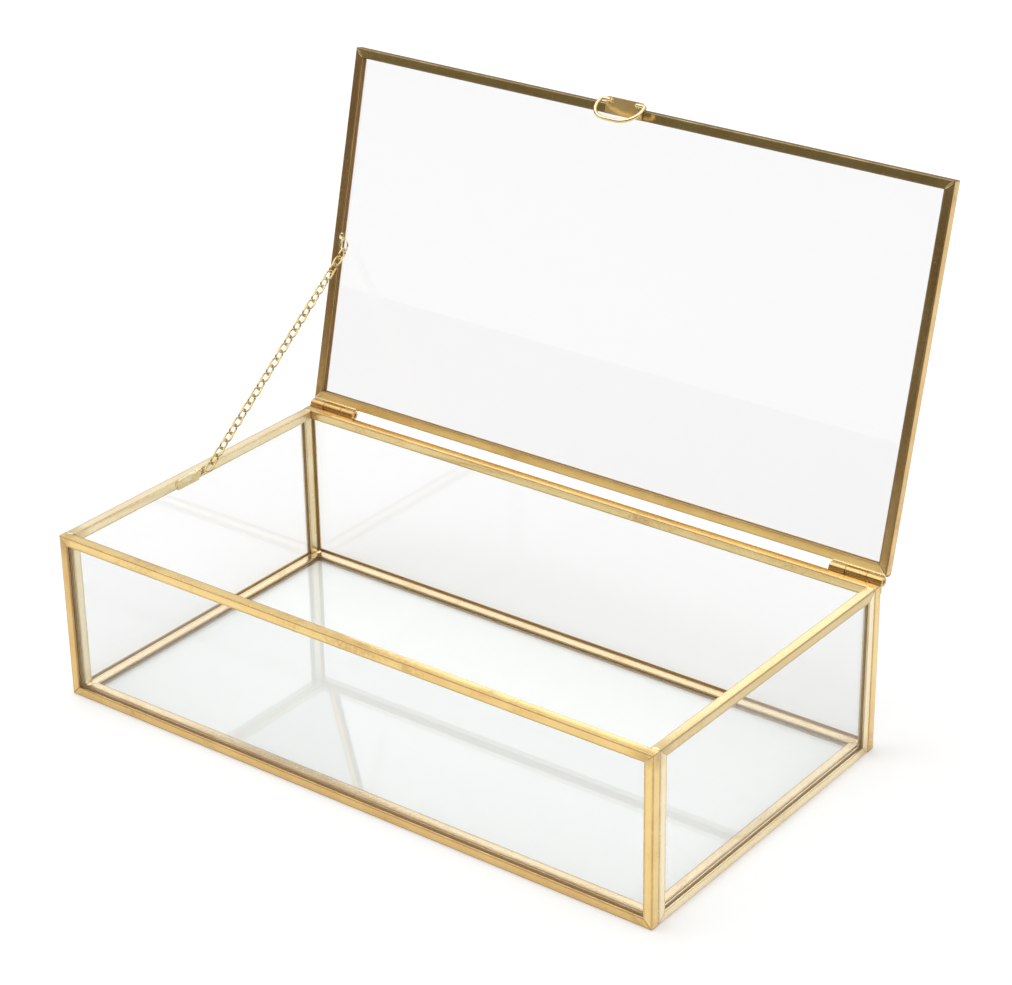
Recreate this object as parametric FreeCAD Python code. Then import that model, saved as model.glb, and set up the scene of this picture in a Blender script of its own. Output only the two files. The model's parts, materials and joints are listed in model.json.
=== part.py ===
import FreeCAD, Part
import math
import os

# Glass jewelry box in brass channel, with a hinged glass lid on a stay chain.
# Millimetres. X runs along the hinge, -Y is the front, +Z is up. The box is first laid out
# with the middle of its footprint at X = Y = 0 and its feet on Z = 0. It is written with the
# lid open, and with its origin at the middle of the bottom of the bounding box of that pose.
Vector = FreeCAD.Vector
X_AXIS = Vector(1, 0, 0)
Y_AXIS = Vector(0, 1, 0)
Z_AXIS = Vector(0, 0, 1)

# Overall sizes
length = 200.0
width = 107.0
height = 50.5
lid_open_angle = 104.0

# Glass and brass channel
glass_thickness = 2.0
sheet = 0.4
glass_side_clearance = 0.1
glass_edge_clearance = 0.3
flange_depth = 2.7
channel_corner_radius = 0.3
mitre_gap = 0.04
solder_seam = 0.08

# Lid and hinges
lid_gap = 0.7
hinge_length = 16.4
hinge_inset = 0.1
knuckle_radius = 1.3
knuckle_standoff = 0.2
hinge_axis_rise = 0.3
middle_knuckle_length = 6.4
knuckle_end_clearance = 0.15
pin_radius = 0.5
pin_running_clearance = 0.05
pin_recess = 0.3
leaf_thickness = 0.4
leaf_depth = 2.6
leaf_swing_clearance = 0.3

# Pull tab and pull ring
tab_centre_x = -3.4
tab_width = 12.4
tab_overhang = 2.1
tab_thickness = 0.5
tab_hole_spacing = 8.8
tab_corner_radius = 0.6
ring_wire_radius = 0.55
ring_radius = 6.9
ring_drop = 1.9
ring_eye_radius = 1.2
ring_eye_wire_radius = 0.58
ring_bend_radius = 1.0
ring_hole_clearance = 0.12
ring_angle_from_lid = 51.0

# Stay chain: pairs of links, the first of each pair flat to the hinge axis
chain_wall_distance = 2.1
rim_eye_reach = 53.4
rim_eye_drop = 0.6
lid_eye_reach = 48.2
lid_eye_drop = 0.9
chain_pairs = 15
link_wire_radius = 0.275
link_inner_width = 1.8
link_clearance = 0.04

# Eyes that the chain hangs from
eye_wire_radius = 0.25
rim_eye_radius = 1.175
rim_eye_stand = 0.05
rim_foot_length = 9.0
rim_foot_height = 2.7
rim_foot_margin = 0.25
rim_foot_thickness = 0.5
lid_eye_radius = 1.9
lid_eye_tilt = 20.0
lid_eye_foot_width = 2.4
lid_eye_foot_height = 0.9

# Sizes that follow from the ones above
channel_width = glass_thickness + 2 * glass_side_clearance + 2 * sheet
glass_inset = sheet + glass_edge_clearance
inner_length = length - 2 * channel_width - 2 * solder_seam
inner_width = width - 2 * channel_width - 2 * solder_seam
lid_underside = height + lid_gap
hinge_axis_y = width / 2 + knuckle_standoff + knuckle_radius
hinge_axis_z = height + hinge_axis_rise
hinge_axis = Vector(0, hinge_axis_y, hinge_axis_z)
chain_x = -length / 2 + channel_width + chain_wall_distance


def opened(shape):
    """Turn a lid shape from closed to open about the hinge axis."""
    turned = shape.copy()
    turned.rotate(hinge_axis, X_AXIS, -lid_open_angle)
    return turned


def box(x_range, y_range, z_range):
    """A box between the low and high ends of its three ranges."""
    corner = Vector(x_range[0], y_range[0], z_range[0])
    return Part.makeBox(
        x_range[1] - x_range[0], y_range[1] - y_range[0], z_range[1] - z_range[0], corner
    )


def one_solid(shapes):
    """Fuse shapes into one solid without seam faces."""
    fused = shapes[0].fuse(shapes[1:]).removeSplitter()
    return fused.Solids[0]


# Channels and panes ---------------------------------------------------------------


def channel_section():
    """The bent-sheet U section: depth along Y, across the glass along Z."""
    r = channel_corner_radius
    half = channel_width / 2
    inner = half - sheet
    bend = r * (1 - math.sqrt(0.5))
    low_arc = Part.Arc(Vector(0, r, -half), Vector(0, bend, bend - half), Vector(0, 0, r - half))
    high_arc = Part.Arc(Vector(0, 0, half - r), Vector(0, bend, half - bend), Vector(0, r, half))
    low_outer = [Vector(0, flange_depth, -half), Vector(0, r, -half)]
    web = [Vector(0, 0, r - half), Vector(0, 0, half - r)]
    high_outer = [Vector(0, r, half), Vector(0, flange_depth, half)]
    inside = [
        Vector(0, flange_depth, half),
        Vector(0, flange_depth, inner),
        Vector(0, sheet, inner),
        Vector(0, sheet, -inner),
        Vector(0, flange_depth, -inner),
        Vector(0, flange_depth, -half),
    ]
    edges = [
        Part.makeLine(*low_outer),
        low_arc.toShape(),
        Part.makeLine(*web),
        high_arc.toShape(),
        Part.makeLine(*high_outer),
    ]
    edges += [Part.makeLine(a, b) for a, b in zip(inside, inside[1:])]
    return Part.Face(Part.Wire(edges))


def channel_strip(side):
    """A channel along X from the origin, its web outwards at Y = 0 and its ends mitred."""
    bar = channel_section().extrude(X_AXIS * side)
    half = channel_width
    outline = [
        Vector(mitre_gap, 0, -half),
        Vector(side - mitre_gap, 0, -half),
        Vector(side - flange_depth - mitre_gap, flange_depth, -half),
        Vector(flange_depth + mitre_gap, flange_depth, -half),
    ]
    outline.append(outline[0])
    mitred = Part.Face(Part.makePolygon(outline)).extrude(Z_AXIS * 2 * half)
    return bar.common(mitred).Solids[0]


def placed(shape, corner, along, inwards, normal):
    """Move a shape from the XYZ axes onto the given corner and axes."""
    matrix = FreeCAD.Matrix(
        along.x, inwards.x, normal.x, corner.x,
        along.y, inwards.y, normal.y, corner.y,
        along.z, inwards.z, normal.z, corner.z,
        0, 0, 0, 1,
    )
    moved = shape.copy()
    moved.Placement = FreeCAD.Placement(matrix).multiply(moved.Placement)
    return moved


def framed_pane(name, centre, u_axis, v_axis, size_u, size_v, sides):
    """A pane with four mitred channels. sides names them from -V round through +U."""
    normal = u_axis.cross(v_axis)
    half_u = u_axis * (size_u / 2)
    half_v = v_axis * (size_v / 2)
    corners = [
        centre - half_u - half_v,
        centre + half_u - half_v,
        centre + half_u + half_v,
        centre - half_u + half_v,
    ]
    nodes = {}
    for index, side in enumerate(sides):
        start = corners[index]
        run = corners[(index + 1) % 4] - start
        along = Vector(run).normalize()
        strip = channel_strip(run.Length)
        nodes[f"{name}_{side}_channel"] = placed(
            strip, start, along, normal.cross(along), normal
        )
    pane_u = size_u - 2 * glass_inset
    pane_v = size_v - 2 * glass_inset
    pane = Part.makeBox(
        pane_u, pane_v, glass_thickness, Vector(-pane_u / 2, -pane_v / 2, -glass_thickness / 2)
    )
    nodes[f"{name}_glass"] = placed(pane, centre, u_axis, v_axis, normal)
    return nodes


def walls_and_floor():
    """Front and back run full length, the sides stand between them, the floor sits inside."""
    half = channel_width / 2
    mid = height / 2
    nodes = {}
    nodes.update(framed_pane(
        "front", Vector(0, half - width / 2, mid), X_AXIS, Z_AXIS, length, height,
        ("bottom", "right", "top", "left"),
    ))
    nodes.update(framed_pane(
        "back", Vector(0, width / 2 - half, mid), -X_AXIS, Z_AXIS, length, height,
        ("bottom", "left", "top", "right"),
    ))
    nodes.update(framed_pane(
        "left", Vector(half - length / 2, 0, mid), -Y_AXIS, Z_AXIS, inner_width, height,
        ("bottom", "front", "top", "back"),
    ))
    nodes.update(framed_pane(
        "right", Vector(length / 2 - half, 0, mid), Y_AXIS, Z_AXIS, inner_width, height,
        ("bottom", "back", "top", "front"),
    ))
    nodes.update(framed_pane(
        "floor", Vector(0, 0, half), X_AXIS, Y_AXIS, inner_length, inner_width,
        ("front", "right", "back", "left"),
    ))
    return nodes


def lid_panel():
    """The lid covers the whole footprint and stands open."""
    centre = Vector(0, 0, lid_underside + channel_width / 2)
    nodes = framed_pane(
        "lid", centre, X_AXIS, Y_AXIS, length, width, ("front", "right", "back", "left")
    )
    return {name: opened(shape) for name, shape in nodes.items()}


# Hinges -------------------------------------------------------------------------------


def knuckle(start, end):
    """A tube on the hinge axis between two X values, bored for the pin."""
    base = Vector(start, hinge_axis_y, hinge_axis_z)
    tube = Part.makeCylinder(knuckle_radius, end - start, base, X_AXIS)
    bore = Part.makeCylinder(pin_radius + pin_running_clearance, end - start, base, X_AXIS)
    return tube.cut(bore)


def hinge_nodes(side, outer_end):
    """Body leaf with two end knuckles, lid leaf with the middle one, and the pin."""
    start = outer_end if outer_end < 0 else outer_end - hinge_length
    end = start + hinge_length
    middle = (start + end) / 2
    lid_start = middle - middle_knuckle_length / 2
    lid_end = middle + middle_knuckle_length / 2
    body_spans = [
        (start, lid_start - knuckle_end_clearance),
        (lid_end + knuckle_end_clearance, end),
    ]
    leaf_y = (width / 2, width / 2 + leaf_thickness)
    clear_radius = knuckle_radius + leaf_swing_clearance
    bore = Part.makeCylinder(
        pin_radius + pin_running_clearance,
        hinge_length,
        Vector(start, hinge_axis_y, hinge_axis_z),
        X_AXIS,
    )

    body_low = height - leaf_depth
    body_leaf = [box((start, end), leaf_y, (body_low, hinge_axis_z - clear_radius))]
    for span in body_spans:
        body_leaf.append(box(span, leaf_y, (body_low, hinge_axis_z)))
        body_leaf.append(knuckle(*span))

    lid_high = lid_underside + leaf_depth
    lid_leaf = [
        box((start, end), leaf_y, (hinge_axis_z + clear_radius, lid_high)),
        box((lid_start, lid_end), leaf_y, (hinge_axis_z, lid_high)),
        knuckle(lid_start, lid_end),
    ]

    pin = Part.makeCylinder(
        pin_radius,
        hinge_length - 2 * pin_recess,
        Vector(start + pin_recess, hinge_axis_y, hinge_axis_z),
        X_AXIS,
    )
    return {
        f"{side}_hinge_body_leaf": one_solid(body_leaf).cut(bore),
        f"{side}_hinge_lid_leaf": opened(one_solid(lid_leaf).cut(bore)),
        f"{side}_hinge_pin": pin,
    }


# Pull tab and ring --------------------------------------------------------------------

tab_outer_y = -width / 2 - tab_overhang
tab_middle_z = lid_underside - tab_thickness / 2
ring_pivot = Vector(tab_centre_x, tab_outer_y, tab_middle_z)


def pull_tab():
    """A flat plate under the lid's front channel, with two holes for the ring's ends."""
    half = tab_width / 2
    hole_radius = ring_eye_wire_radius + ring_hole_clearance
    plate = box(
        (tab_centre_x - half, tab_centre_x + half),
        (tab_outer_y, -width / 2 + flange_depth),
        (lid_underside - tab_thickness, lid_underside),
    )
    for side in (-1, 1):
        hole_at = ring_pivot + Vector(side * tab_hole_spacing / 2, ring_eye_radius, -tab_thickness)
        plate = plate.cut(Part.makeCylinder(hole_radius, 2 * tab_thickness, hole_at))
    corners = [
        edge for edge in plate.Edges
        if edge.BoundBox.ZLength > tab_thickness / 2 and edge.BoundBox.YMax < tab_outer_y + 0.01
    ]
    return opened(plate.makeFillet(tab_corner_radius, corners).Solids[0])


def bent_wire(bend_radius, wire_radius, first_angle, last_angle):
    """A round wire bent about the origin in the XY plane, between two angles from +X."""
    sweep = last_angle - first_angle
    wire = Part.makeTorus(
        bend_radius, wire_radius, Vector(0, 0, 0), Z_AXIS, -180, 180, sweep
    )
    wire.rotate(Vector(0, 0, 0), Z_AXIS, first_angle)
    return wire


def moved(shape, step):
    """A copy of the shape moved by a vector."""
    copy = shape.copy()
    copy.translate(step)
    return copy


def pull_ring():
    """A D of round wire whose ends turn in and close round the tab's outer edge.

    It is drawn in the XY plane, hanging from its pivot along -Y, then turned about X to
    hang along -Z and on to its angle from the lid.
    """
    eye_x = tab_hole_spacing / 2
    # the corner bend's centre is one bend radius inside both the ring and the turned-in end
    bend_y = -ring_eye_radius - ring_bend_radius
    bend_rise = bend_y + ring_drop
    reach = ring_radius - ring_bend_radius
    bend_x = math.sqrt(reach**2 - bend_rise**2)
    lean = math.degrees(math.atan2(bend_rise, bend_x))
    main = bent_wire(ring_radius, ring_wire_radius, -180 - lean, lean)
    shapes = [moved(main, Vector(0, -ring_drop, 0))]
    corner = bent_wire(ring_bend_radius, ring_wire_radius, lean, 90)
    corner.translate(Vector(bend_x, bend_y, 0))
    turned_in = Part.makeCylinder(
        ring_wire_radius, bend_x - eye_x, Vector(eye_x, -ring_eye_radius, 0), X_AXIS
    )
    eye = Part.makeTorus(ring_eye_radius, ring_eye_wire_radius, Vector(eye_x, 0, 0), X_AXIS)
    for shape in (corner, turned_in, eye):
        shapes += [shape, shape.mirror(Vector(0, 0, 0), X_AXIS)]
    ring = one_solid(shapes)
    ring.rotate(Vector(0, 0, 0), X_AXIS, 180 - ring_angle_from_lid)
    ring.translate(ring_pivot)
    return opened(ring)


# Stay chain ---------------------------------------------------------------------------

rim_pivot = Vector(chain_x, hinge_axis_y - rim_eye_reach, height - rim_eye_drop)
lid_pivot_closed = Vector(chain_x, hinge_axis_y - lid_eye_reach, lid_underside - lid_eye_drop)
lid_pivot = opened(Part.Vertex(lid_pivot_closed)).Point
chain_run = lid_pivot - rim_pivot
pair_pitch = chain_run.Length / chain_pairs
chain_rise = math.degrees(math.atan2(chain_run.z, chain_run.y))
link_inner_length = pair_pitch / 2 + link_clearance
link_bend_radius = link_inner_width / 2 + link_wire_radius
tip_offset = 2 * link_wire_radius + link_clearance


def link(flat):
    """A link whose first tip wire is centred on the origin and which runs along +Y.

    It lies flat to the X axis, or stands on edge in the YZ plane.
    """
    straight = link_inner_length - link_inner_width
    near = Vector(0, link_bend_radius, 0)
    far = Vector(0, link_bend_radius + straight, 0)
    shapes = [
        moved(bent_wire(link_bend_radius, link_wire_radius, 180, 360), near),
        moved(bent_wire(link_bend_radius, link_wire_radius, 0, 180), far),
    ]
    for side in (-1, 1):
        foot = near + X_AXIS * (side * link_bend_radius)
        shapes.append(Part.makeCylinder(link_wire_radius, straight, foot, Y_AXIS))
    solid = one_solid(shapes)
    if not flat:
        solid.rotate(Vector(0, 0, 0), Y_AXIS, 90)
    return solid


def chain_nodes():
    """Each pair turns about its first link's near tip, at the pivot it is written from."""
    nodes = {}
    flat_reach = link_inner_length + 2 * link_wire_radius
    for index in range(chain_pairs):
        second_tip = Vector(0, flat_reach - tip_offset, 0)
        pair = Part.makeCompound([link(True), moved(link(False), second_tip)])
        pair.rotate(Vector(0, 0, 0), X_AXIS, chain_rise)
        pair.translate(rim_pivot + chain_run * (index / chain_pairs))
        nodes[f"chain_links_{index + 1:02d}"] = pair
    return nodes


def rim_eye():
    """A wire loop soldered, with its flat foot, to the inside of the left wall's top channel."""
    wall_x = -length / 2 + channel_width
    foot_x = wall_x + rim_foot_thickness
    run = Vector(chain_run).normalize()
    centre = rim_pivot - run * (rim_eye_radius - eye_wire_radius - link_wire_radius - link_clearance)
    loop_x = wall_x + rim_eye_stand + eye_wire_radius
    foot = box(
        (wall_x, foot_x),
        (centre.y - rim_eye_radius - rim_foot_length, centre.y - rim_eye_radius),
        (height - rim_foot_margin - rim_foot_height, height - rim_foot_margin),
    )
    loop = Part.makeTorus(
        rim_eye_radius, eye_wire_radius, Vector(loop_x, centre.y, centre.z), X_AXIS
    )
    return one_solid([foot, loop])


def lid_eye():
    """A wire ring soldered to the inner edge of the lid's left channel, tipped off the glass."""
    centre = lid_pivot_closed - Vector(0, lid_eye_radius, 0)
    ring = Part.makeTorus(lid_eye_radius, eye_wire_radius, centre, Z_AXIS)
    ring.rotate(centre, Y_AXIS, lid_eye_tilt)
    flange_edge = -length / 2 + flange_depth
    ring_edge = centre.x - lid_eye_radius * math.cos(math.radians(lid_eye_tilt))
    foot = box(
        (flange_edge, ring_edge),
        (centre.y - lid_eye_foot_width / 2, centre.y + lid_eye_foot_width / 2),
        (lid_underside - lid_eye_foot_height / 2, lid_underside + lid_eye_foot_height / 2),
    )
    return opened(one_solid([foot, ring]))


# Whole box ------------------------------------------------------------------------------


def all_nodes():
    """Every sub-part by name, laid out about the middle of the footprint."""
    nodes = walls_and_floor()
    nodes.update(lid_panel())
    nodes.update(hinge_nodes("left", hinge_inset - length / 2))
    nodes.update(hinge_nodes("right", length / 2 - hinge_inset))
    nodes["pull_tab"] = pull_tab()
    nodes["pull_ring"] = pull_ring()
    nodes["chain_rim_eye"] = rim_eye()
    nodes["chain_lid_eye"] = lid_eye()
    nodes.update(chain_nodes())
    return nodes


os.makedirs("parts", exist_ok=True)
box_nodes = all_nodes()
whole = Part.makeCompound(list(box_nodes.values())).optimalBoundingBox(False, False)
to_origin = Vector(0, -(whole.YMin + whole.YMax) / 2, 0)
for node_name, node_shape in box_nodes.items():
    node_shape.translate(to_origin)
    node_shape.exportStep(f"parts/{node_name}.step")
print("nodes", len(box_nodes), "origin shift", round(to_origin.y, 4))
print("chain", round(chain_run.Length, 3), "pitch", round(pair_pitch, 4), "rise", round(chain_rise, 3))
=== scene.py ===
"""Glass jewelry box in soldered brass channel: its finishes, fine details, studio and camera."""

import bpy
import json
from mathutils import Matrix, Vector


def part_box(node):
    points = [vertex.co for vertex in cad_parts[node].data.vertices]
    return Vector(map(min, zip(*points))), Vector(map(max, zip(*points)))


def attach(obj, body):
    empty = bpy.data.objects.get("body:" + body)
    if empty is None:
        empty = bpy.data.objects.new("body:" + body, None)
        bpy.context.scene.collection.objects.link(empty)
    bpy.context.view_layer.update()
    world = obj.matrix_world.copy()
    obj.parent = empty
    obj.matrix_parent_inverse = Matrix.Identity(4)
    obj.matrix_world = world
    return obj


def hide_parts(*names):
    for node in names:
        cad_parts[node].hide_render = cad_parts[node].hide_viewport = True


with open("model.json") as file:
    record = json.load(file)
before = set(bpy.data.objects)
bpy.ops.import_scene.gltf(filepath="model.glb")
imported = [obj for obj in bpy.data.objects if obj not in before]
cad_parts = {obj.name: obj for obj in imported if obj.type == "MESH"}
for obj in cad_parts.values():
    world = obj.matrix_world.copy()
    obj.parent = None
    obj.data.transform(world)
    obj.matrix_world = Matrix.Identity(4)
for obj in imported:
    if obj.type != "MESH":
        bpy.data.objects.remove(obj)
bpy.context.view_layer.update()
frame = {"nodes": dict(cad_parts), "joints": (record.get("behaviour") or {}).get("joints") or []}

import json
import logging
import math
from dataclasses import dataclass, field, replace
from enum import Enum

import bpy
from mathutils import Matrix, Vector

logging.basicConfig(level=logging.INFO, format="%(message)s")
LOG = logging.getLogger("jewelry_box")
MM = 0.001


# Node graphs ----------------------------------------------------------------------------


@dataclass(frozen=True)
class Signal:
    """A number that varies over a surface, as the node socket that gives it."""

    graph: "Graph"
    socket: bpy.types.NodeSocket

    def _math(self, operation: str, first: object, second: object) -> "Signal":
        """Add a Math node.

        Args:
            operation: The node's operation.
            first: Its first value or signal.
            second: Its second value or signal.

        Returns:
            The node's result.
        """
        node = self.graph.node(
            "ShaderNodeMath", {"operation": operation}, {0: first, 1: second}
        )
        return Signal(self.graph, node.outputs[0])

    def __add__(self, other: object) -> "Signal":
        """Sum with a value or signal."""
        return self._math("ADD", self, other)

    __radd__ = __add__

    def __sub__(self, other: object) -> "Signal":
        """This less a value or signal."""
        return self._math("SUBTRACT", self, other)

    def __rsub__(self, other: object) -> "Signal":
        """A value or signal less this."""
        return self._math("SUBTRACT", other, self)

    def __mul__(self, other: object) -> "Signal":
        """Product with a value or signal."""
        return self._math("MULTIPLY", self, other)

    __rmul__ = __mul__

    def __truediv__(self, other: object) -> "Signal":
        """This over a value or signal."""
        return self._math("DIVIDE", self, other)

    def __pow__(self, other: object) -> "Signal":
        """This to a power."""
        return self._math("POWER", self, other)

    def at_least(self, other: object) -> "Signal":
        """The larger of this and a value or signal."""
        return self._math("MAXIMUM", self, other)

    def at_most(self, other: object) -> "Signal":
        """The smaller of this and a value or signal."""
        return self._math("MINIMUM", self, other)

    def size(self) -> "Signal":
        """This without its sign."""
        return self._math("ABSOLUTE", self, 0.0)

    def ramp(self, low: float, high: float) -> "Signal":
        """A smooth step.

        Args:
            low: Where the result is 0.
            high: Where the result is 1.

        Returns:
            The eased share of the way from low to high.
        """
        node = self.graph.node(
            "ShaderNodeMapRange",
            {"interpolation_type": "SMOOTHSTEP", "clamp": True},
            {"Value": self, "From Min": low, "From Max": high},
        )
        return Signal(self.graph, node.outputs["Result"])


class Graph:
    """The node tree of one material or world."""

    def __init__(self, tree: bpy.types.NodeTree) -> None:
        """Start from an empty tree.

        Args:
            tree: The tree to fill.
        """
        self.tree = tree
        self.tree.nodes.clear()

    def node(
        self, kind: str, settings: dict[str, object] | None = None,
        sockets: dict[object, object] | None = None,
    ) -> bpy.types.Node:
        """Add a node.

        Args:
            kind: The node's type.
            settings: Its own properties, set first.
            sockets: Values, signals or links for its inputs, by name or index.

        Returns:
            The new node.
        """
        made = self.tree.nodes.new(kind)
        for name, value in (settings or {}).items():
            setattr(made, name, value)
        for name, value in (sockets or {}).items():
            self.feed(made.inputs[name], value)
        return made

    def feed(self, socket: bpy.types.NodeSocket, value: object) -> None:
        """Link or set one input.

        Args:
            socket: The input.
            value: A signal, an output socket or a plain value.
        """
        if isinstance(value, Signal):
            self.tree.links.new(value.socket, socket)
        elif isinstance(value, bpy.types.NodeSocket):
            self.tree.links.new(value, socket)
        else:
            socket.default_value = value

    def place(self, turn: float) -> bpy.types.NodeSocket:
        """Where the surface is.

        Args:
            turn: Angle of the axes about X, in radians.

        Returns:
            The place's output, in the object's own metres.
        """
        place = self.node("ShaderNodeTexCoord").outputs["Object"]
        turned = self.node(
            "ShaderNodeMapping", {"vector_type": "TEXTURE"},
            {"Vector": place, "Rotation": (turn, 0.0, 0.0)},
        )
        return turned.outputs[0]

    def ray(self, *kinds: str) -> Signal:
        """Whether light reaches the surface along one of some kinds of ray.

        Args:
            kinds: Camera, Glossy, Transmission, Diffuse or Shadow.

        Returns:
            1 for a ray of those kinds, 0 for any other.
        """
        path = self.node("ShaderNodeLightPath")
        first, *others = (Signal(self, path.outputs[f"Is {kind} Ray"]) for kind in kinds)
        for other in others:
            first = first.at_least(other)
        return first

    def axes(
        self, turn: float = 0.0, centre: tuple[float, float, float] = (0.0, 0.0, 0.0)
    ) -> tuple[Signal, Signal, Signal]:
        """The surface's place along each axis.

        Args:
            turn: Angle of the axes about X, in radians.
            centre: Their zero, in the turned axes, in metres.

        Returns:
            The distances along X, Y and Z.
        """
        moved = self.node(
            "ShaderNodeVectorMath", {"operation": "SUBTRACT"}, {0: self.place(turn), 1: centre}
        )
        split = self.node("ShaderNodeSeparateXYZ", sockets={0: moved.outputs[0]})
        x, y, z = (Signal(self, out) for out in split.outputs)
        return x, y, z

    def noise(
        self, scale: tuple[float, float, float], turn: float = 0.0, detail: float = 3.0,
        roughness: float = 0.55, warp: float = 0.0,
    ) -> Signal:
        """Cloudy noise.

        Args:
            scale: Cells per metre along each axis.
            turn: Angle about X of the axes it is stretched along, in radians.
            detail: Octaves.
            roughness: Weight of the finer octaves.
            warp: Distortion.

        Returns:
            Values about 0.5.
        """
        scaled = self.node(
            "ShaderNodeVectorMath", {"operation": "MULTIPLY"}, {0: self.place(turn), 1: scale}
        )
        made = self.node(
            "ShaderNodeTexNoise", {"noise_dimensions": "3D"},
            {
                "Vector": scaled.outputs[0], "Scale": 1.0, "Detail": detail,
                "Roughness": roughness, "Distortion": warp,
            },
        )
        return Signal(self, made.outputs[0])

    def mix(self, share: object, first: object, second: object) -> bpy.types.NodeSocket:
        """Blend two colours.

        Args:
            share: How much of the second.
            first: Colour or output.
            second: Colour or output.

        Returns:
            The blended colour's output.
        """
        made = self.node("ShaderNodeMix", {"data_type": "RGBA"})
        self.feed(made.inputs[0], share)
        self.feed(made.inputs[6], first)
        self.feed(made.inputs[7], second)
        return made.outputs[2]

    def bump(
        self, height: Signal, strength: float, depth: float,
        under: bpy.types.NodeSocket | None = None,
    ) -> bpy.types.NodeSocket:
        """A bumped normal.

        Args:
            height: The height, 0 to 1.
            strength: Share of the full effect.
            depth: What a height of 1 stands for, in metres.
            under: A normal that this one is laid over.

        Returns:
            The normal's output.
        """
        made = self.node(
            "ShaderNodeBump", sockets={"Strength": strength, "Distance": depth, "Height": height}
        )
        if under is not None:
            self.feed(made.inputs["Normal"], under)
        return made.outputs["Normal"]


def rgb(red: float, green: float, blue: float) -> tuple[float, float, float, float]:
    """A colour as linear light with full alpha."""
    return (red, green, blue, 1.0)


def corners(node: str, turn: Matrix) -> tuple[Vector, Vector]:
    """Read a CAD node's box in other axes than the frame's.

    Args:
        node: The CAD node.
        turn: What takes the frame's axes to the others.

    Returns:
        Its lowest and highest corner there.
    """
    points = [turn @ v.co for v in frame["nodes"][node].data.vertices]
    return tuple(Vector(pick(p[i] for p in points) for i in range(3)) for pick in (min, max))


# Finishes -------------------------------------------------------------------------------

# Noise, in cells per metre, from broad heat patches down to specks of tarnish.
PATCHES = (28.0, 28.0, 28.0)
CLOUDS = (70.0, 70.0, 70.0)
SPECKS = (900.0, 900.0, 900.0)

# How deep the metal's own unevenness is.
GRAIN_DEPTH = 0.12 * MM

# Along a channel: where the darkening starts to fade and where it has gone, as distances from a
# bend, from a mitre and from an end, and how deep in from its skin the sheet's inner faces start,
# which get painted light.
BEND_DARKENING = (0.05 * MM, 0.62 * MM)
MITRE_DIRT = (0.05 * MM, 0.30 * MM)
END_DARKENING = (1.0 * MM, 8.0 * MM)
INNER_FACES = (0.15 * MM, 0.30 * MM)

# How far broad and fine noise move the edge of that darkening.
BROAD_WANDER = 0.7 * MM
FINE_WANDER = 0.2 * MM

# A lit brown painted on the channels' inner faces, and how much of them is painted rather than
# metal: a painted reflection of the brass they mirror, which the lamps barely reach through the
# glass.
INNER_PAINTED_LIGHT = rgb(0.66, 0.45, 0.21)
INNER_PAINTED_SHARE = 0.92
COAT_ROUGHNESS = 0.12


class Run(Enum):
    """The way a strip's drawing marks run, as noise cells per metre along X, Y and Z."""

    X = (9.0, 260.0, 260.0)
    Y = (260.0, 9.0, 260.0)
    Z = (260.0, 260.0, 9.0)
    NONE = (150.0, 150.0, 150.0)

    @property
    def axis(self) -> int:
        """The index of the axis it runs along."""
        return {"X": 0, "Y": 1, "Z": 2}[self.name]


@dataclass(frozen=True)
class Strip:
    """Where a straight channel lies, in axes turned about X to lie along its panel."""

    centre: tuple[float, float, float]
    half: tuple[float, float, float]
    run: Run
    across: int
    outward: float
    turn: float = 0.0

    @classmethod
    def of(cls, node: str, pane: str, run: Run, turn: float = 0.0) -> "Strip":
        """Read a channel's place from its own mesh and its pane's.

        Args:
            node: The channel's CAD node.
            pane: The CAD node of the pane it edges.
            run: The way it runs.
            turn: Its panel's angle about X.

        Returns:
            The strip.
        """
        back = Matrix.Rotation(-turn, 3, "X")
        low, high = corners(node, back)
        pane_low, pane_high = corners(pane, back)
        centre = (low + high) / 2
        off = centre - (pane_low + pane_high) / 2
        across = max((i for i in range(3) if i != run.axis), key=lambda i: abs(off[i]))
        return cls(tuple(centre), tuple((high - low) / 2), run, across,
                   math.copysign(1.0, off[across]), turn)


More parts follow.
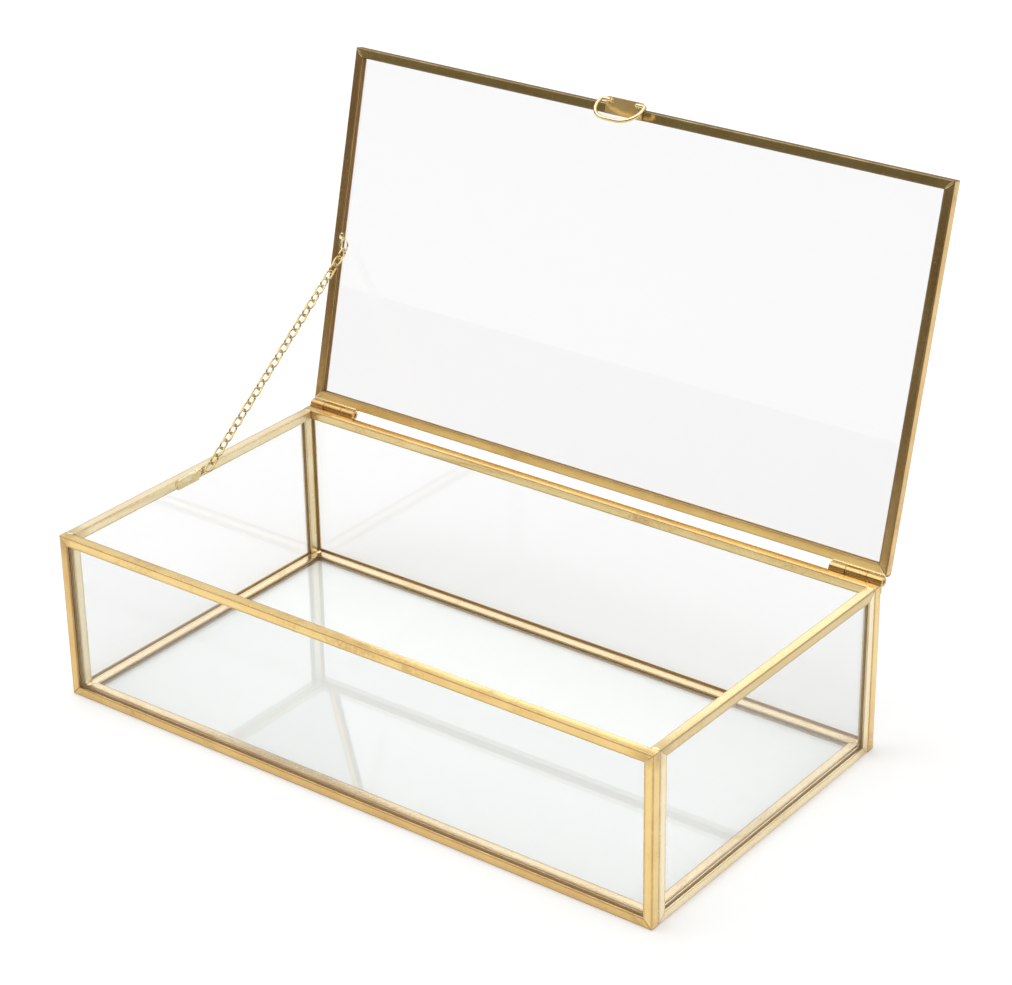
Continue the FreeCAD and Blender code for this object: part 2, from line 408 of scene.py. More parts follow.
@dataclass(frozen=True)
class Brass:
    """Drawn or cast brass with a thin uneven tarnish.

    Its grain runs along the strip. Darker, redder patches show where flux and heat reached,
    and a strip is darker along its bends, at its mitres and towards its ends. Its inner faces are
    painted a lit brown, a painted reflection of the brass they mirror. A matte brass is partly
    painted with its own colour, so that it keeps it whatever it reflects.
    """

    name: str
    bright: tuple[float, float, float, float] = rgb(0.87, 0.63, 0.255)
    warm: tuple[float, float, float, float] = rgb(0.76, 0.48, 0.155)
    dull: tuple[float, float, float, float] = rgb(0.36, 0.21, 0.065)
    run: Run = Run.NONE
    turn: float = 0.0
    smoothest: float = 0.14
    roughest: float = 0.36
    tarnish: float = 0.5
    edge_darkening: float = 0.75
    lacquer: float = 0.5
    crown: float = 0.00008
    ripple: float = 0.25
    matte: float = 0.0
    form: Strip | None = None

    def material(self) -> bpy.types.Material:
        """Build the finish as nodes.

        Returns:
            The material.
        """
        made = bpy.data.materials.new(self.name)
        made.use_nodes = True
        graph = Graph(made.node_tree)
        fine = graph.noise(self.run.value, self.turn, 4.0, 0.65)
        cloud = graph.noise(CLOUDS, 0.0, 4.0, 0.6, 0.4)
        patch = graph.noise(PATCHES, 0.0, 3.0, 0.55, 0.8)
        speck = graph.noise(SPECKS, 0.0, 2.0, 0.6)
        warmth = (cloud * 0.6 + fine * 0.4).ramp(0.40, 0.66)
        stain = (cloud * 0.45 + patch * 0.35 + speck * 0.2).ramp(0.53, 0.70) * self.tarnish
        darkening, crown, hidden = self._bends(graph, cloud, speck)
        stain = stain.at_least(darkening)
        colour = graph.mix(warmth * 0.75, self.bright, self.warm)
        colour = graph.mix(stain, colour, self.dull)
        # Paint the inner faces lit brown: a painted reflection.
        colour = graph.mix(hidden, colour, INNER_PAINTED_LIGHT)
        rough = fine.ramp(0.3, 0.75) * 0.5 + stain * 0.8 + speck.ramp(0.4, 0.7) * 0.15
        spread = self.roughest - self.smoothest
        normal = graph.bump(fine * 0.6 + cloud * 0.4, self.ripple, GRAIN_DEPTH)
        if crown is not None:
            normal = graph.bump(crown, 1.0, self.crown, normal)
        painted = (stain * 0.45).at_least(hidden * INNER_PAINTED_SHARE).at_least(self.matte)
        surface = graph.node(
            "ShaderNodeBsdfPrincipled",
            sockets={
                "Base Color": colour,
                "Metallic": 1.0 - painted,
                "Coat Weight": (1.0 - hidden) * self.lacquer,
                "Coat Roughness": COAT_ROUGHNESS,
                "Roughness": rough.at_most(1.0) * spread + self.smoothest,
                "Normal": normal,
            },
        )
        graph.node("ShaderNodeOutputMaterial", sockets={"Surface": surface.outputs[0]})
        return made

    def _bends(
        self, graph: Graph, cloud: Signal, speck: Signal
    ) -> tuple[Signal | float, Signal | None, Signal | float]:
        """Work out the darkening along a strip's bends, mitres and ends, its crown, and its inner
        faces, where light is painted.

        Args:
            graph: The node tree.
            cloud: Broad noise that breaks the dirt up.
            speck: Fine noise that breaks it up.

        Returns:
            The darkening and the crown's height, 0 to 1, and 1 inside the channel, where light is
            painted.
            A loose form has none of them.
        """
        if self.form is None:
            return 0.0, None, 0.0
        form = self.form
        place = graph.axes(form.turn, form.centre)
        inside = [form.half[i] - place[i].size() for i in range(3)]
        through = 3 - form.run.axis - form.across
        edge = inside[form.across].at_least(inside[through])
        outer = form.half[form.across] - place[form.across] * form.outward
        mitre = (inside[form.run.axis] - outer).size()
        wander = (cloud - 0.5) * BROAD_WANDER + (speck - 0.5) * FINE_WANDER
        bend = (1.0 - (edge + wander).ramp(*BEND_DARKENING)) * (cloud.ramp(0.3, 0.6) * 0.5 + 0.5)
        seam = 1.0 - (mitre + wander * 0.4).ramp(*MITRE_DIRT)
        corner = 1.0 - inside[form.run.axis].ramp(*END_DARKENING)
        darkening = bend.at_least(seam * 0.9).at_least(corner * cloud.ramp(0.42, 0.6) * 0.6)
        half_width = form.half[form.across]
        slope = 1.0 - (edge / half_width).at_most(1.0)
        hidden = inside[form.across].at_most(inside[through]).ramp(*INNER_FACES)
        return darkening * self.edge_darkening, 1.0 - slope * slope, hidden


@dataclass(frozen=True)
class PaneGlass:
    """Clear float glass with faint smears. It lets the lamps through to what it covers."""

    name: str
    tint: tuple[float, float, float, float]
    passed: tuple[float, float, float, float] = rgb(0.955, 0.965, 0.957)
    index: float = 1.48
    smears: tuple[float, float, float] = (22.0, 22.0, 22.0)
    smeared: float = 0.02

    def material(self) -> bpy.types.Material:
        """Build the finish as nodes.

        Returns:
            The material.
        """
        made = bpy.data.materials.new(self.name)
        made.use_nodes = True
        graph = Graph(made.node_tree)
        smear = graph.noise(self.smears, 0.3, 3.0, 0.5, 1.2).ramp(0.5, 0.85)
        glass = graph.node(
            "ShaderNodeBsdfPrincipled",
            sockets={
                "Base Color": self.tint,
                "Roughness": smear * self.smeared,
                "IOR": self.index,
                "Transmission Weight": 1.0,
            },
        )
        clear = graph.node("ShaderNodeBsdfTransparent", sockets={"Color": self.passed})
        lit = graph.ray("Shadow", "Diffuse")
        surface = graph.node(
            "ShaderNodeMixShader", sockets={0: lit, 1: glass.outputs[0], 2: clear.outputs[0]}
        )
        graph.node("ShaderNodeOutputMaterial", sockets={"Surface": surface.outputs[0]})
        return made


# The channels' tones: lit and shaded copies of one brass, with light and shade painted in by how
# each faces the light, and by how much flux was left on it.
GOLD = Brass("gold_brass")
# Lit copy for the left and right walls: painted highlight, partly matte so it stays pale whatever
# it mirrors.
LIT_WALL = Brass(
    "lit_wall_brass", bright=rgb(1.0, 0.86, 0.56), warm=rgb(0.93, 0.73, 0.40), tarnish=0.25,
    edge_darkening=0.6, matte=0.35,
)
# Shaded copy for the front's bottom and left and the back's bottom: painted shade, darker and
# browner.
SHADED_SIDE = Brass(
    "shaded_side_brass", bright=rgb(0.75, 0.51, 0.20), warm=rgb(0.63, 0.38, 0.12), tarnish=0.6,
    edge_darkening=0.85,
)
SHADED = Brass(
    "shaded_brass", bright=rgb(0.80, 0.58, 0.22), warm=rgb(0.66, 0.40, 0.13),
    dull=rgb(0.17, 0.10, 0.035), tarnish=0.65, edge_darkening=0.95, lacquer=0.15, crown=0.00002,
)
# Browner shaded copy for the lid's right side: painted shade.
SHADED_LID_RIGHT = replace(
    SHADED, name="shaded_lid_right_brass", bright=rgb(0.78, 0.53, 0.22), warm=rgb(0.62, 0.37, 0.12)
)
FLOORED = Brass(
    "floor_brass", bright=rgb(0.62, 0.50, 0.30), warm=rgb(0.55, 0.40, 0.20), tarnish=0.35,
    smoothest=0.2,
)
# Lit copy for the lid's back side: painted light, mostly matte so it stays bright whatever it
# mirrors.
LIT_LID_BACK = Brass(
    "lit_lid_back_brass", bright=rgb(0.98, 0.69, 0.25), warm=rgb(0.86, 0.52, 0.15), tarnish=0.45,
    edge_darkening=0.8, matte=0.65, lacquer=0.2, crown=0.00002,
)
# Darker, browner shaded copy for the lid's left side: painted shade.
SHADED_LID_LEFT = Brass(
    "shaded_lid_left_brass", bright=rgb(0.80, 0.50, 0.19), warm=rgb(0.66, 0.34, 0.11),
    dull=rgb(0.15, 0.08, 0.03), tarnish=0.7, edge_darkening=0.9, lacquer=0.15, crown=0.00002,
)
LIPPED = Brass("lipped_brass", bright=rgb(0.86, 0.66, 0.31), warm=rgb(0.79, 0.55, 0.23))
# Paler copy for the right wall's top: painted highlight, toned down below white.
LIT_TOP = Brass(
    "lit_top_brass", bright=rgb(0.75, 0.60, 0.32), warm=rgb(0.69, 0.51, 0.22), tarnish=0.3,
    edge_darkening=0.6, matte=0.2, smoothest=0.24, roughest=0.46, lacquer=0.2,
)

# Each panel's tone, and the tone of each side that differs from its panel, which carries that
# side's painted light or shade.
TONES = {
    "front": GOLD, "front_bottom": SHADED_SIDE, "front_left": SHADED_SIDE,
    "back": GOLD, "back_bottom": SHADED_SIDE, "back_top": LIPPED,
    "left": LIT_WALL,
    "right": LIT_WALL, "right_top": LIT_TOP,
    "floor": FLOORED,
    "lid": SHADED, "lid_back": LIT_LID_BACK, "lid_left": SHADED_LID_LEFT, "lid_right": SHADED_LID_RIGHT,
}

HINGE = Brass(
    "brass_hinge", run=Run.X, tarnish=0.9, bright=rgb(0.66, 0.43, 0.17),
    warm=rgb(0.52, 0.30, 0.10), lacquer=0.12, smoothest=0.22, roughest=0.42,
)
HINGE_PIN = Brass("brass_pin", run=Run.X, tarnish=0.9, dull=rgb(0.2, 0.12, 0.05))
PULL = Brass("brass_pull", tarnish=0.6, matte=0.35)
PULL_WIRE = Brass(
    "brass_pull_ring", tarnish=0.5, smoothest=0.08, roughest=0.2, ripple=0.15,
    bright=rgb(0.86, 0.69, 0.38), warm=rgb(0.72, 0.51, 0.24),
)
CHAIN = Brass(
    "brass_chain", tarnish=0.3, bright=rgb(0.68, 0.54, 0.25), warm=rgb(0.55, 0.40, 0.15),
    lacquer=0.2,
)
CHAIN_EYES = Brass(
    "brass_eyes", tarnish=0.3, bright=rgb(0.86, 0.72, 0.42), warm=rgb(0.72, 0.54, 0.26),
    roughest=0.4,
)
SOLDER = Brass(
    "brass_solder_work", tarnish=0.35, bright=rgb(0.90, 0.74, 0.42), warm=rgb(0.82, 0.60, 0.27),
    smoothest=0.2, roughest=0.45, ripple=0.5,
)
PALE_SOLDER = Brass(
    "pale_solder", tarnish=0.2, bright=rgb(0.98, 0.89, 0.64), warm=rgb(0.95, 0.79, 0.46),
    dull=rgb(0.55, 0.42, 0.22), smoothest=0.28, roughest=0.55, ripple=0.6, matte=0.6,
)
LID_PANE = PaneGlass("lid_pane", rgb(0.915, 0.915, 0.915))
FLOOR_PANE = PaneGlass("floor_pane", rgb(0.885, 0.895, 0.89))
WALL_PANE = PaneGlass("wall_pane", rgb(0.918, 0.924, 0.922))


def dress(piece: bpy.types.Object, material: bpy.types.Material) -> None:
    """Give a piece one material.

    Args:
        piece: The mesh object.
        material: What covers it.
    """
    piece.data.materials.clear()
    piece.data.materials.append(material)


# CAD pieces -------------------------------------------------------------------------------


@dataclass
class GlazedPanels:
    """The five fixed panes and the lid's pane, each in four channels."""

    lid_angle: float
    dressed: int = field(default=0, init=False)

    def build(self) -> None:
        """Dress every pane and channel."""
        panes = {"lid": LID_PANE.material(), "floor": FLOOR_PANE.material()}
        wall = WALL_PANE.material()
        for node in frame["nodes"]:
            if node.endswith("_glass"):
                dress(frame["nodes"][node], panes.get(node.split("_")[0], wall))
                self.dressed += 1
            elif node.endswith("_channel"):
                self._channel(node)
                self.dressed += 1
        LOG.info("panels: %d pieces dressed", self.dressed)

    def _channel(self, node: str) -> None:
        """Dress one channel in brass drawn along it.

        Args:
            node: The CAD node.
        """
        panel, side, _ = node.split("_")
        turn = -self.lid_angle if panel == "lid" else 0.0
        if panel in ("lid", "floor"):
            run = Run.Y if side in ("left", "right") else Run.X
        elif side in ("top", "bottom"):
            run = Run.X if panel in ("front", "back") else Run.Y
        else:
            run = Run.Z
        form = Strip.of(node, f"{panel}_glass", run, turn)
        tone = TONES.get(f"{panel}_{side}", TONES[panel])
        finish = replace(tone, name=f"brass_{node}", run=run, turn=turn, form=form)
        dress(frame["nodes"][node], finish.material())


@dataclass
class Fittings:
    """Hinges, pull and stay chain."""

    def build(self) -> None:
        """Dress each fitting in its own brass."""
        hinge, pin, pull, chain, eyes = (
            finish.material() for finish in (HINGE, HINGE_PIN, PULL, CHAIN, CHAIN_EYES)
        )
        for name, piece in frame["nodes"].items():
            if name.endswith("_pin"):
                dress(piece, pin)
            elif "_hinge_" in name:
                dress(piece, hinge)
            elif name.startswith("pull_"):
                dress(piece, pull)
            elif name.endswith("_eye"):
                dress(piece, eyes)
            elif name.startswith("chain_links"):
                dress(piece, chain)
        LOG.info("fittings dressed")


# New pieces -------------------------------------------------------------------------------


class Hand:
    """Modelling steps shared by the small pieces."""

    WELD = 0.002 * MM
    SHARP = math.radians(50)

    @staticmethod
    def start() -> None:
        """Leave edit mode with nothing selected."""
        if bpy.context.object and bpy.context.object.mode != "OBJECT":
            bpy.ops.object.mode_set(mode="OBJECT")
        bpy.ops.object.select_all(action="DESELECT")

    @staticmethod
    def finish(piece: bpy.types.Object, place: Matrix, material: bpy.types.Material,
               slot: str, body: str) -> bpy.types.Object:
        """Put a piece in place, clean it, dress it and hang it on its body.

        Args:
            piece: The object, modelled about the origin.
            place: Where it goes.
            material: What covers it.
            slot: Not used.
            body: The body it moves with.

        Returns:
            The finished piece.
        """
        Hand.start()
        piece.select_set(True)
        bpy.context.view_layer.objects.active = piece
        bpy.ops.object.mode_set(mode="EDIT")
        bpy.ops.mesh.select_all(action="SELECT")
        bpy.ops.mesh.remove_doubles(threshold=Hand.WELD)
        bpy.ops.mesh.normals_make_consistent(inside=False)
        bpy.ops.object.mode_set(mode="OBJECT")
        piece.matrix_world = place
        bpy.ops.object.transform_apply(location=True, rotation=True, scale=True)
        bpy.ops.object.shade_smooth_by_angle(angle=Hand.SHARP)
        dress(piece, material)
        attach(piece, body)
        return piece


@dataclass
class BentWire:
    """Round wire drawn out and bent in the XY plane."""

    name: str
    radius: float
    position: Vector
    heading: Vector
    sides: int = 14
    step_degrees: float = 7.5

    def begin(self) -> None:
        """Cut the wire's first end."""
        Hand.start()
        turn = self.heading.to_track_quat("Z", "Y").to_euler()
        bpy.ops.mesh.primitive_circle_add(
            vertices=self.sides, radius=self.radius, fill_type="NGON",
            location=self.position, rotation=turn,
        )
        bpy.context.object.name = self.name
        bpy.ops.object.transform_apply(location=True, rotation=True, scale=True)
        bpy.ops.object.mode_set(mode="EDIT")
        bpy.ops.mesh.select_all(action="SELECT")

    def straight(self, length: float) -> None:
        """Draw the wire on.

        Args:
            length: How far.
        """
        step = self.heading * length
        bpy.ops.mesh.extrude_region_move(TRANSFORM_OT_translate={"value": step})
        self.position = self.position + step

    def bend(self, radius: float, degrees: float) -> None:
        """Bend the wire to its left, seen from +Z.

        Args:
            radius: The bend's radius at the wire's middle.
            degrees: How far round.
        """
        left = Vector((-self.heading.y, self.heading.x, 0.0))
        centre = self.position + left * radius
        angle = math.radians(degrees)
        bpy.ops.mesh.spin(
            steps=round(degrees / self.step_degrees), dupli=False, angle=-angle, center=centre,
            axis=(0, 0, 1),
        )
        turn = Matrix.Rotation(angle, 3, "Z")
        self.position = centre + turn @ (self.position - centre)
        self.heading = turn @ self.heading

    def end(self) -> bpy.types.Object:
        """Leave the wire as an object.

        Returns:
            The wire.
        """
        bpy.ops.object.mode_set(mode="OBJECT")
        return bpy.context.object


@dataclass
class PullRing:
    """The D of wire, with its two ends hooked through the tab's holes."""

    hang_degrees: float = 25.0
    hole_offset: float = 4.4 * MM
    wire: float = 0.55 * MM
    hook: float = 1.2 * MM
    hook_wire: float = 0.45 * MM
    hook_degrees: float = 118.0
    hook_sides: int = 16
    hook_steps: int = 18
    turned_in: float = 2.35 * MM
    top_bend: float = 0.65 * MM
    leg: float = 1.1 * MM
    corner: float = 5.5 * MM

    def build(self) -> None:
        """Bend the ring and hook its ends."""
        joint = next(j for j in frame["joints"] if j["name"] == "ring_pivot")
        place = Matrix.Translation(joint["pos_m"]) @ Matrix.Rotation(
            math.radians(self.hang_degrees), 4, "X"
        )
        ring = self._bow()
        hooks = [self._hooked(side) for side in (-1, 1)]
        Hand.start()
        for part in (*hooks, ring):
            part.select_set(True)
        bpy.context.view_layer.objects.active = ring
        bpy.ops.object.join()
        piece = Hand.finish(ring, place, PULL_WIRE.material(), "pull", "pull_ring")
        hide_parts("pull_ring")
        LOG.info("ring: %d faces", len(piece.data.polygons))

    def _bow(self) -> bpy.types.Object:
        """Bend the bow, from one turned-in end round to the other.

        Returns:
            The bow.
        """
        start = Vector((-self.hole_offset, -self.hook, 0.0))
        bow = BentWire("pull_ring_bow", self.wire, start, Vector((-1.0, 0.0, 0.0)))
        bow.begin()
        bow.straight(self.turned_in)
        bow.bend(self.top_bend, 90)
        bow.straight(self.leg)
        bow.bend(self.corner, 90)
        bow.straight(2 * (self.hole_offset + self.turned_in + self.top_bend - self.corner))
        bow.bend(self.corner, 90)
        bow.straight(self.leg)
        bow.bend(self.top_bend, 90)
        bow.straight(self.turned_in)
        return bow.end()

    def _hooked(self, side: int) -> bpy.types.Object:
        """One end, turned about the ring's axis so that it stays in its hole as the ring swings.

        Args:
            side: -1 for the left, 1 for the right.

        Returns:
            The hook.
        """
        Hand.start()
        middle = Vector((side * self.hole_offset, 0.0, 0.0))
        bpy.ops.mesh.primitive_circle_add(
            vertices=self.hook_sides, radius=self.hook_wire, fill_type="NGON",
            location=middle + Vector((0.0, -self.hook, 0.0)), rotation=(0.0, 0.0, 0.0),
        )
        hook = bpy.context.object
        bpy.ops.object.transform_apply(location=True, rotation=True, scale=True)
        bpy.ops.object.mode_set(mode="EDIT")
        bpy.ops.mesh.select_all(action="SELECT")
        bpy.ops.mesh.spin(
            steps=self.hook_steps, dupli=False, angle=-math.radians(self.hook_degrees),
            center=middle, axis=(1, 0, 0),
        )
        bpy.ops.object.mode_set(mode="OBJECT")
        return hook


@dataclass(frozen=True)
class Pad:
    """A lump of solder on one of the chain's eyes: its place from the eye and its half sizes."""

    name: str
    offset: Vector
    half: Vector


# The rim eye's lumps, from that eye's lowest corner. They lean outwards over the rim, because the
# chain's links pass close inside it as the lid shuts.
RIM_PADS = (
    Pad("rim_eye_pad_main", Vector((0.14, 3.657, 1.70)) * MM, Vector((0.42, 4.3, 1.55)) * MM),
    Pad("rim_eye_pad_shoulder", Vector((-0.24, 6.957, 2.05)) * MM, Vector((0.78, 2.2, 1.2)) * MM),
    Pad("rim_eye_pad_knob", Vector((-0.20, 9.157, 1.95)) * MM, Vector((0.72, 1.2, 1.2)) * MM),
)

# The lid eye's lump, from that eye's lowest X and its highest Y and Z.
LID_PAD = Pad("lid_eye_pad", Vector((0.3, -0.2, -0.6)) * MM, Vector((0.9, 0.45, 1.5)) * MM)


@dataclass
class SolderWork:
    """Solder left at the corners, along the hinge leaves and round the chain's two eyes."""

    lid_axis: Vector
    lid_degrees: float
    rim_drop: Vector = field(default_factory=lambda: Vector((1.15, 0.85, 0.10)) * MM)
    rim_overhang: float = 0.1 * MM
    floor_drop: Vector = field(default_factory=lambda: Vector((0.9, 0.9, 0.35)) * MM)
    mitre_run: Vector = field(default_factory=lambda: Vector((1.5, 0.32, 0.07)) * MM)
    mitre_inset: float = 0.75 * MM
    seam_radius: float = 0.31 * MM
    seam_sides: int = 16
    seam_out: float = 0.12 * MM
    seam_rounding: float = 0.6
    lump_rough: float = 0.16
    rim_pad_rough: float = 0.18
    lid_pad_rough: float = 0.22
    seeds: int = 0
    made: int = 0

    def _lump(
        self, name: str, half: Vector, place: Matrix, material: bpy.types.Material, body: str,
        rough: float,
    ) -> None:
        """Make one uneven drop of solder.

        Args:
            name: The piece's name.
            half: Its half sizes, in metres.
            place: Where it lies.
            material: What covers it.
            body: The body it is on.
            rough: How uneven it is, as a share of its size.
        """
        Hand.start()
        bpy.ops.mesh.primitive_ico_sphere_add(subdivisions=4, radius=1.0, location=(0, 0, 0))
        lump = bpy.context.object
        lump.name = name
        bpy.ops.object.mode_set(mode="EDIT")
        bpy.ops.mesh.select_all(action="SELECT")
        self.seeds += 1
        bpy.ops.transform.vertex_random(offset=rough, uniform=0.4, normal=0.9, seed=self.seeds)
        bpy.ops.mesh.vertices_smooth(factor=0.5, repeat=5)
        bpy.ops.transform.resize(value=half, center_override=(0.0, 0.0, 0.0))
        bpy.ops.object.mode_set(mode="OBJECT")
        Hand.finish(lump, place, material, "solder", body)
        self.made += 1

    def _on_lid(self, place: Vector) -> Matrix:
        """The open place of a point given on the shut lid.

        Args:
            place: The point with the lid shut.

        Returns:
            Where it is with the lid open, turned with it.
        """
        out = Matrix.Translation(self.lid_axis)
        back = Matrix.Translation(-self.lid_axis)
        turn = Matrix.Rotation(-math.radians(self.lid_degrees), 4, "X")
        return out @ turn @ back @ Matrix.Translation(place)

    def build(self) -> None:
        """Make every drop and seam."""
        gold = SOLDER.material()
        self._rim_corners(gold)
        self._floor_corners(gold)
        self._lid_corners(gold)
        self._hinge_seams(gold)
        self._eye_pads(gold, PALE_SOLDER.material())
        LOG.info("solder: %d pieces", self.made)

    def _rim_corners(self, gold: bpy.types.Material) -> None:
        """Smear solder where the four walls' top channels meet.

        Args:
            gold: What covers it.
        """
        for side, panel in ((-1, "left"), (1, "right")):
            low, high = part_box(f"{panel}_top_channel")
            x = (low.x + high.x) / 2
            ends = (("front", low.y - self.rim_overhang), ("back", high.y + self.rim_overhang))
            for end, y in ends:
                spot = Vector((x, y, high.z))
                self._lump(
                    f"rim_solder_{end}_{panel}", self.rim_drop, Matrix.Translation(spot), gold,
                    "box", self.lump_rough,
                )

    def _floor_corners(self, gold: bpy.types.Material) -> None:
        """Drop solder inside the bottom corners, where the floor's channels meet the walls.

        Args:
            gold: What covers it.
        """
        low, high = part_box("floor_glass")
        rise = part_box("floor_front_channel")[1].z
        for side, x in (("left", low.x), ("right", high.x)):
            for end, y in (("front", low.y), ("back", high.y)):
                spot = Vector((x, y, rise))
                self._lump(
                    f"floor_solder_{end}_{side}", self.floor_drop, Matrix.Translation(spot), gold,
                    "box", self.lump_rough,
                )

    def _lid_corners(self, gold: bpy.types.Material) -> None:
        """Run solder thinly across the lid's four mitres, on its inner face.

        Args:
            gold: What covers it.
        """
        low, high = self._shut_box("lid_glass")
        under = self._shut_box("lid_front_channel")[0].z
        for side, x, lean in (("left", low.x, 1), ("right", high.x, -1)):
            for end, y, way in (("front", low.y, 1), ("back", high.y, -1)):
                spot = Vector((x + lean * self.mitre_inset, y + way * self.mitre_inset, under))
                turn = Matrix.Rotation(math.radians(45 * lean * way), 4, "Z")
                self._lump(
                    f"lid_solder_{end}_{side}", self.mitre_run, self._on_lid(spot) @ turn, gold,
                    "lid", self.lump_rough,
                )

    def _shut_box(self, node: str) -> tuple[Vector, Vector]:
        """The lowest and highest corner of a lid node with the lid shut."""
        return corners(node, self._on_lid(Vector((0, 0, 0))).inverted())

    def _hinge_seams(self, gold: bpy.types.Material) -> None:
        """Run solder along each hinge leaf's foot on the lid.

        Args:
            gold: What covers it.
        """
        back = self._shut_box("lid_back_channel")
        for side in ("left", "right"):
            low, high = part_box(f"{side}_hinge_lid_leaf")
            corner = Vector(((low.x + high.x) / 2, back[1].y, back[0].z))
            out = corner - Vector((corner.x, self.lid_axis.y, self.lid_axis.z))
            spot = corner + out.normalized() * self.seam_out
            self._rod(f"{side}_hinge_seam", high.x - low.x, self._on_lid(spot), gold)

    def _rod(
        self, name: str, length: float, place: Matrix, material: bpy.types.Material
    ) -> None:
        """Make a run of solder along X with rounded ends, on the lid.

        Args:
            name: The piece's name.
            length: Its length.
            place: Where its middle lies.
            material: What covers it.
        """
        Hand.start()
        bpy.ops.mesh.primitive_cylinder_add(
            vertices=self.seam_sides, radius=self.seam_radius, depth=length, location=(0, 0, 0),
            rotation=(0.0, math.pi / 2, 0.0),
        )
        rod = bpy.context.object
        rod.name = name
        bpy.ops.object.transform_apply(location=True, rotation=True, scale=True)
        bpy.ops.object.mode_set(mode="EDIT")
        bpy.ops.mesh.select_all(action="DESELECT")
        bpy.ops.object.mode_set(mode="OBJECT")
        for face in rod.data.polygons:
            face.select = abs(face.normal.x) > 0.9
        bpy.ops.object.mode_set(mode="EDIT")
        bpy.ops.mesh.bevel(offset=self.seam_radius * self.seam_rounding, segments=3)
        bpy.ops.object.mode_set(mode="OBJECT")
        Hand.finish(rod, place, material, "solder", "lid")
        self.made += 1

    def _eye_pads(self, gold: bpy.types.Material, pale: bpy.types.Material) -> None:
        """Hold the chain's eyes with lumps of solder, pale ones on the rim and one on the lid.

        Args:
            gold: What covers the lid's lump.
            pale: What covers the rim's.
        """
        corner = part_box("chain_rim_eye")[0]
        for pad in RIM_PADS:
            self._lump(
                pad.name, pad.half, Matrix.Translation(corner + pad.offset), pale, "box",
                self.rim_pad_rough,
            )
        low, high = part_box("chain_lid_eye")
        spot = Vector((low.x, high.y, high.z)) + LID_PAD.offset
        self._lump(
            LID_PAD.name, LID_PAD.half, Matrix.Translation(spot), gold, "lid", self.lid_pad_rough
        )


# Studio -----------------------------------------------------------------------------------

WHITE = rgb(1.0, 1.0, 1.0)
DIM_FLOOR = rgb(0.12, 0.11, 0.10)


@dataclass(frozen=True)
class Lamp:
    """A square soft lamp: where it hangs, its side in metres and its power in watts."""

    name: str
    place: tuple[float, float, float]
    side: float
    watts: float

    def hang(self, aim: Vector) -> None:
        """Hang the lamp.

        Args:
            aim: What it points at.
        """
        data = bpy.data.lights.new(self.name, "AREA")
        data.shape = "SQUARE"
        data.size = self.side
        data.energy = self.watts
        lamp = bpy.data.objects.new(self.name, data)
        lamp.location = self.place
        lamp.rotation_mode = "QUATERNION"
        lamp.rotation_quaternion = (aim - Vector(self.place)).to_track_quat("-Z", "Y")
        bpy.context.scene.collection.objects.link(lamp)


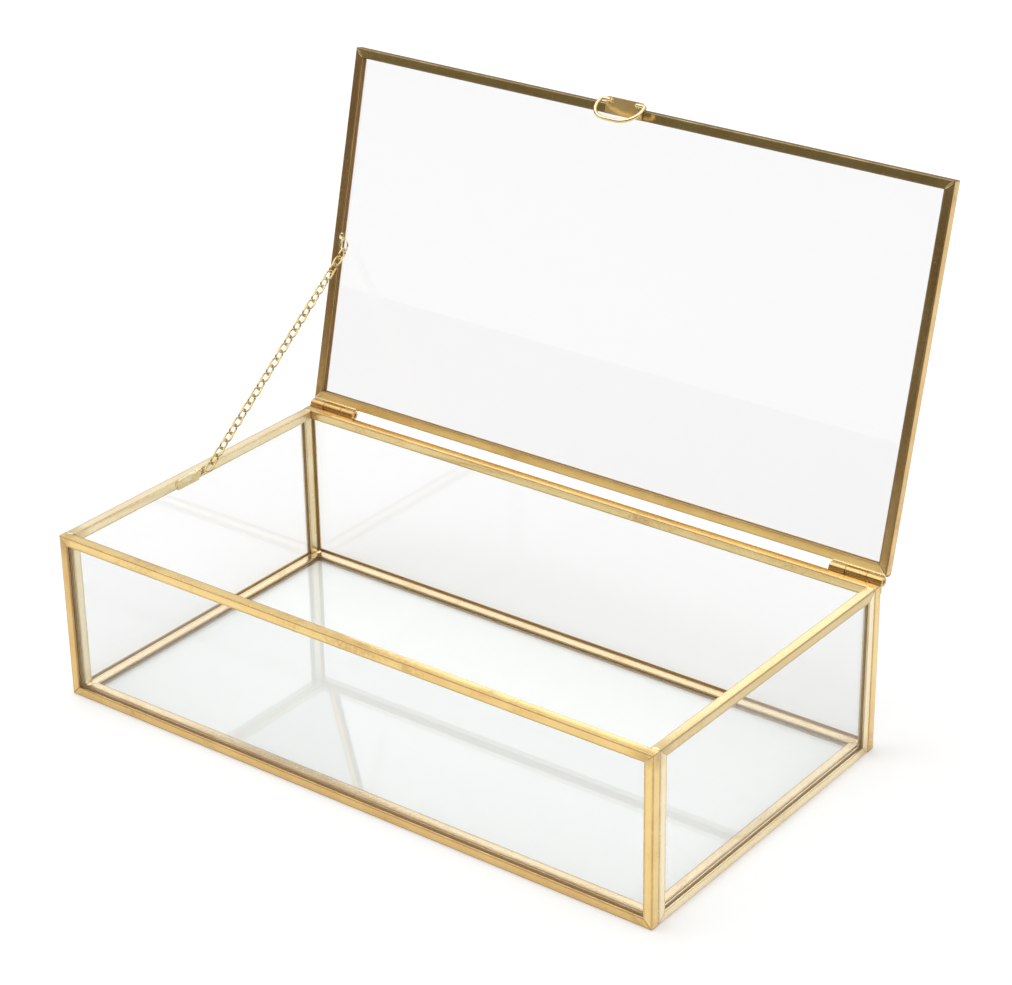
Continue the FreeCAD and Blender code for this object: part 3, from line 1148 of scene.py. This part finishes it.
@dataclass
class Studio:
    """A pale floor, soft lamps and a bright surround with a dim room in front of the box.

    What the camera sees straight or through glass is white. What metal and glass mirror is dimmer
    in a band all round the horizon, in a room ahead of the box, and on the floor far from it, and
    that gives the brass its darker faces. Heights and sideways places in the surround are those of
    a direction of length 1.
    """

    floor_half: float = 30.0
    floor_drop: float = 0.05 * MM
    floor_grey: float = 0.86
    floor_glow: float = 0.24
    far_floor: tuple[float, float] = (0.60, 1.30)
    far_floor_share: float = 0.9
    mirrored_white: float = 0.94
    band_height: float = 0.03
    band_edge: tuple[float, float] = (0.14, 0.38)
    band_dark: float = 0.78
    room_top: tuple[float, float] = (0.45, 0.80)
    room_ahead: tuple[float, float] = (0.15, -0.35)
    room_dark: float = 0.85
    room_left: tuple[float, float] = (-0.38, -0.60)
    room_left_lighter: float = 0.27
    light_level: float = 0.62
    aim: tuple[float, float, float] = (0.0, 0.0, 0.05)
    lamps: tuple[Lamp, ...] = (
        Lamp("overhead", (-0.4, -0.1, 1.9), 2.2, 17.0),
        Lamp("left_key", (-1.9, -1.0, 1.2), 1.3, 4.0),
        Lamp("right_fill", (2.0, 0.4, 1.0), 1.3, 3.0),
    )

    def build(self) -> None:
        """Make the floor, the surround and the lamps."""
        self._floor()
        self._world()
        for lamp in self.lamps:
            lamp.hang(Vector(self.aim))
        LOG.info("studio made")

    def _floor(self) -> None:
        """Lay the floor under the box."""
        bpy.ops.object.select_all(action="DESELECT")
        bpy.ops.mesh.primitive_plane_add(
            size=2 * self.floor_half, location=(0, 0, -self.floor_drop)
        )
        floor = bpy.context.object
        floor.name = "floor"
        made = bpy.data.materials.new("pale_floor")
        made.use_nodes = True
        graph = Graph(made.node_tree)
        seen = graph.ray("Camera", "Glossy", "Transmission")
        matt = graph.node("ShaderNodeBsdfDiffuse", sockets={"Color": rgb(*[self.floor_grey] * 3)})
        glow = graph.node(
            "ShaderNodeEmission", sockets={"Color": WHITE, "Strength": seen * self.floor_glow}
        )
        both = graph.node("ShaderNodeAddShader", sockets={0: matt.outputs[0], 1: glow.outputs[0]})
        x, y, _ = graph.axes()
        distance = (x * x + y * y) ** 0.5
        far = distance.ramp(*self.far_floor) * graph.ray("Glossy") * self.far_floor_share
        dark = graph.node("ShaderNodeBsdfDiffuse", sockets={"Color": DIM_FLOOR})
        shown = graph.node(
            "ShaderNodeMixShader", sockets={0: far, 1: both.outputs[0], 2: dark.outputs[0]}
        )
        graph.node("ShaderNodeOutputMaterial", sockets={"Surface": shown.outputs[0]})
        dress(floor, made)

    def _world(self) -> None:
        """Surround the box with white that metal sees dimmer near the horizon and ahead."""
        world = bpy.data.worlds.new("surround")
        bpy.context.scene.world = world
        world.use_nodes = True
        graph = Graph(world.node_tree)
        way = graph.node("ShaderNodeTexCoord").outputs["Generated"]
        split = graph.node("ShaderNodeSeparateXYZ", sockets={0: way})
        x, y, z = (Signal(graph, out) for out in split.outputs)
        shiny = graph.ray("Glossy")
        seen = graph.ray("Camera", "Transmission")
        band = (1.0 - (z - self.band_height).size().ramp(*self.band_edge)) * self.band_dark
        lighter = x.ramp(*self.room_left) * self.room_left_lighter
        walls = (1.0 - z.ramp(*self.room_top)) * y.ramp(*self.room_ahead)
        room = walls * (self.room_dark - lighter)
        mirrored = self.mirrored_white - band.at_least(room)
        unseen = 1.0 - seen.at_least(shiny)
        level = seen + shiny * mirrored + unseen * self.light_level
        back = graph.node("ShaderNodeBackground", sockets={"Color": WHITE, "Strength": level})
        graph.node("ShaderNodeOutputWorld", sockets={"Surface": back.outputs[0]})


@dataclass
class Viewpoint:
    """The camera, in front of the box, to its right and above.

    Angles are in degrees, the lens and its sensor in millimetres, the rest in metres.
    """

    place: tuple[float, float, float] = (0.4313, -0.55759, 0.4118)
    azimuth: float = 37.48
    elevation: float = 26.22
    roll: float = -0.88
    lens: float = 102.17
    sensor: float = 36.0
    nearest: float = 0.01
    farthest: float = 100.0

    def build(self) -> None:
        """Make the camera and set it as the scene's."""
        data = bpy.data.cameras.new("camera")
        data.lens = self.lens
        data.sensor_width = self.sensor
        data.sensor_fit = "HORIZONTAL"
        data.clip_start = self.nearest
        data.clip_end = self.farthest
        camera = bpy.data.objects.new("camera", data)
        bpy.context.scene.collection.objects.link(camera)
        az, el, roll = (math.radians(a) for a in (self.azimuth, self.elevation, self.roll))
        back = Vector((math.sin(az) * math.cos(el), -math.cos(az) * math.cos(el), math.sin(el)))
        level = (-back).cross(Vector((0, 0, 1))).normalized()
        upright = level.cross(-back)
        right = level * math.cos(roll) + upright * math.sin(roll)
        up = upright * math.cos(roll) - level * math.sin(roll)
        turn = Matrix((right, up, back)).transposed()
        camera.matrix_world = Matrix.Translation(self.place) @ turn.to_4x4()
        bpy.context.scene.camera = camera
        LOG.info("camera placed")


def main() -> None:
    """Build the box's looks, then the studio and the camera."""
    bpy.ops.object.select_all(action="DESELECT")
    bpy.context.scene.view_settings.view_transform = "Standard"
    joint = next(j for j in frame["joints"] if j["name"] == "lid_hinge")
    lid_angle = math.radians(joint["range_deg"][1])
    GlazedPanels(lid_angle).build()
    Fittings().build()
    PullRing().build()
    SolderWork(Vector(joint["pos_m"]), joint["range_deg"][1]).build()
    Studio().build()
    Viewpoint().build()


if __name__ == "__main__":
    main()
